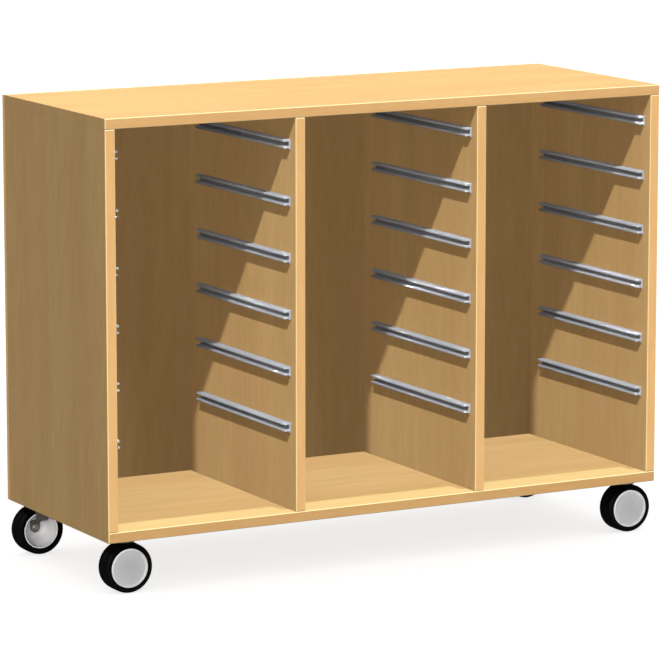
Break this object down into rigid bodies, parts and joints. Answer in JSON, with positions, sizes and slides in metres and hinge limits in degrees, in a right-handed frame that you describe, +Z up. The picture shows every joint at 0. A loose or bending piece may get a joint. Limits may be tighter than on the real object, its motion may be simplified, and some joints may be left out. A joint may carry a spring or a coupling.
{
  "type": "classroom tray storage unit",
  "caption": "Mobile storage unit in beech-effect board with open bays, pairs of channel runners for sliding trays, and single-arm swivel castors with grey dished hubs.",
  "frame": {"origin": "on the floor, under the middle of the carcass", "axes": "+X to the right seen from the open front, +Y from the front to the back, +Z up"},
  "size_m": [1.075, 0.406, 0.796],
  "materials": {
    "beech_board": "beech-effect laminate, satin",
    "runner_aluminium": "satin",
    "castor_steel": "zinc plated",
    "tyre_rubber": "smooth",
    "hub_plastic": "moulded, satin"
  },
  "bodies": {
    "cabinet": {"top_panel": "beech_board", "base_panel": "beech_board", "back_panel": "beech_board", "left_side_panel": "beech_board", "right_side_panel": "beech_board", "divider_1": "beech_board", "divider_2": "beech_board", "bay_1_left_runner_1": "runner_aluminium", "bay_1_left_runner_2": "runner_aluminium", "bay_1_left_runner_3": "runner_aluminium", "bay_1_left_runner_4": "runner_aluminium", "bay_1_left_runner_5": "runner_aluminium", "bay_1_left_runner_6": "runner_aluminium", "bay_1_right_runner_1": "runner_aluminium", "bay_1_right_runner_2": "runner_aluminium", "bay_1_right_runner_3": "runner_aluminium", "bay_1_right_runner_4": "runner_aluminium", "bay_1_right_runner_5": "runner_aluminium", "bay_1_right_runner_6": "runner_aluminium", "bay_2_left_runner_1": "runner_aluminium", "bay_2_left_runner_2": "runner_aluminium", "bay_2_left_runner_3": "runner_aluminium", "bay_2_left_runner_4": "runner_aluminium", "bay_2_left_runner_5": "runner_aluminium", "bay_2_left_runner_6": "runner_aluminium", "bay_2_right_runner_1": "runner_aluminium", "bay_2_right_runner_2": "runner_aluminium", "bay_2_right_runner_3": "runner_aluminium", "bay_2_right_runner_4": "runner_aluminium", "bay_2_right_runner_5": "runner_aluminium", "bay_2_right_runner_6": "runner_aluminium", "bay_3_left_runner_1": "runner_aluminium", "bay_3_left_runner_2": "runner_aluminium", "bay_3_left_runner_3": "runner_aluminium", "bay_3_left_runner_4": "runner_aluminium", "bay_3_left_runner_5": "runner_aluminium", "bay_3_left_runner_6": "runner_aluminium", "bay_3_right_runner_1": "runner_aluminium", "bay_3_right_runner_2": "runner_aluminium", "bay_3_right_runner_3": "runner_aluminium", "bay_3_right_runner_4": "runner_aluminium", "bay_3_right_runner_5": "runner_aluminium", "bay_3_right_runner_6": "runner_aluminium", "front_left_castor_plate": "castor_steel", "front_right_castor_plate": "castor_steel", "rear_left_castor_plate": "castor_steel", "rear_right_castor_plate": "castor_steel"},
    "front_left_swivel": {"front_left_castor_arm": "castor_steel"},
    "front_left_wheel": {"front_left_tyre": "tyre_rubber", "front_left_wheel_hub": "hub_plastic"},
    "front_right_swivel": {"front_right_castor_arm": "castor_steel"},
    "front_right_wheel": {"front_right_tyre": "tyre_rubber", "front_right_wheel_hub": "hub_plastic"},
    "rear_left_swivel": {"rear_left_castor_arm": "castor_steel"},
    "rear_left_wheel": {"rear_left_tyre": "tyre_rubber", "rear_left_wheel_hub": "hub_plastic"},
    "rear_right_swivel": {"rear_right_castor_arm": "castor_steel"},
    "rear_right_wheel": {"rear_right_tyre": "tyre_rubber", "rear_right_wheel_hub": "hub_plastic"}
  },
  "joints": [
    {"name": "front_left_castor_swivel", "type": "hinge", "parent": "cabinet", "child": "front_left_swivel", "pos_m": [-0.491, -0.167, 0.092], "axis": [0, 0, 1], "continuous": true},
    {"name": "front_left_wheel_roll", "type": "hinge", "parent": "front_left_swivel", "child": "front_left_wheel", "pos_m": [-0.487, -0.167, 0.0425], "axis": [0, 1, 0], "continuous": true},
    {"name": "front_right_castor_swivel", "type": "hinge", "parent": "cabinet", "child": "front_right_swivel", "pos_m": [0.491, -0.167, 0.092], "axis": [0, 0, 1], "continuous": true},
    {"name": "front_right_wheel_roll", "type": "hinge", "parent": "front_right_swivel", "child": "front_right_wheel", "pos_m": [0.495, -0.167, 0.0425], "axis": [0, 1, 0], "continuous": true},
    {"name": "rear_left_castor_swivel", "type": "hinge", "parent": "cabinet", "child": "rear_left_swivel", "pos_m": [-0.491, 0.167, 0.092], "axis": [0, 0, 1], "continuous": true},
    {"name": "rear_left_wheel_roll", "type": "hinge", "parent": "rear_left_swivel", "child": "rear_left_wheel", "pos_m": [-0.495, 0.167, 0.0425], "axis": [0, 1, 0], "continuous": true},
    {"name": "rear_right_castor_swivel", "type": "hinge", "parent": "cabinet", "child": "rear_right_swivel", "pos_m": [0.491, 0.167, 0.092], "axis": [0, 0, 1], "continuous": true},
    {"name": "rear_right_wheel_roll", "type": "hinge", "parent": "rear_right_swivel", "child": "rear_right_wheel", "pos_m": [0.487, 0.167, 0.0425], "axis": [0, 1, 0], "continuous": true}
  ]
}
